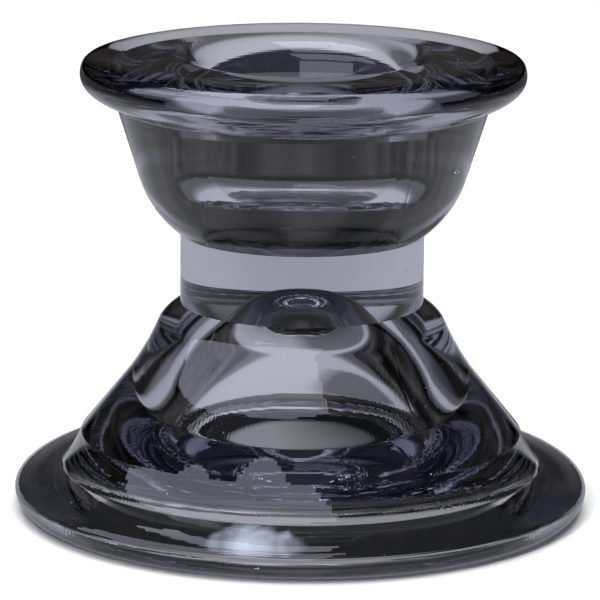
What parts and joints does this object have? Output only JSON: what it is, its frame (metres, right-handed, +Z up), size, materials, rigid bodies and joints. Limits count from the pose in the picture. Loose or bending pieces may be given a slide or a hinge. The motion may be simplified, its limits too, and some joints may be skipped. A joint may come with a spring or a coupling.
{
  "type": "glass candlestick",
  "caption": "Squat smoke-grey glass candlestick: thick rolled-rim cup with a candle socket, plain round stem and hollow flared foot.",
  "frame": {"origin": "centre of the ring under the foot, on the surface that the candlestick stands on", "axes": "+Z up along the axis that every piece is turned about; X and Y are alike"},
  "size_m": [0.0742, 0.0742, 0.0589],
  "materials": {
    "cup_glass": "clear smoke-grey glass, fire polished",
    "stem_glass": "clear smoke-grey glass, fire polished",
    "foot_glass": "clear smoke-grey glass, fire polished, fine wear on the ring that it stands on"
  },
  "bodies": {
    "root": {"cup": "cup_glass", "stem": "stem_glass", "foot": "foot_glass"}
  },
  "joints": []
}
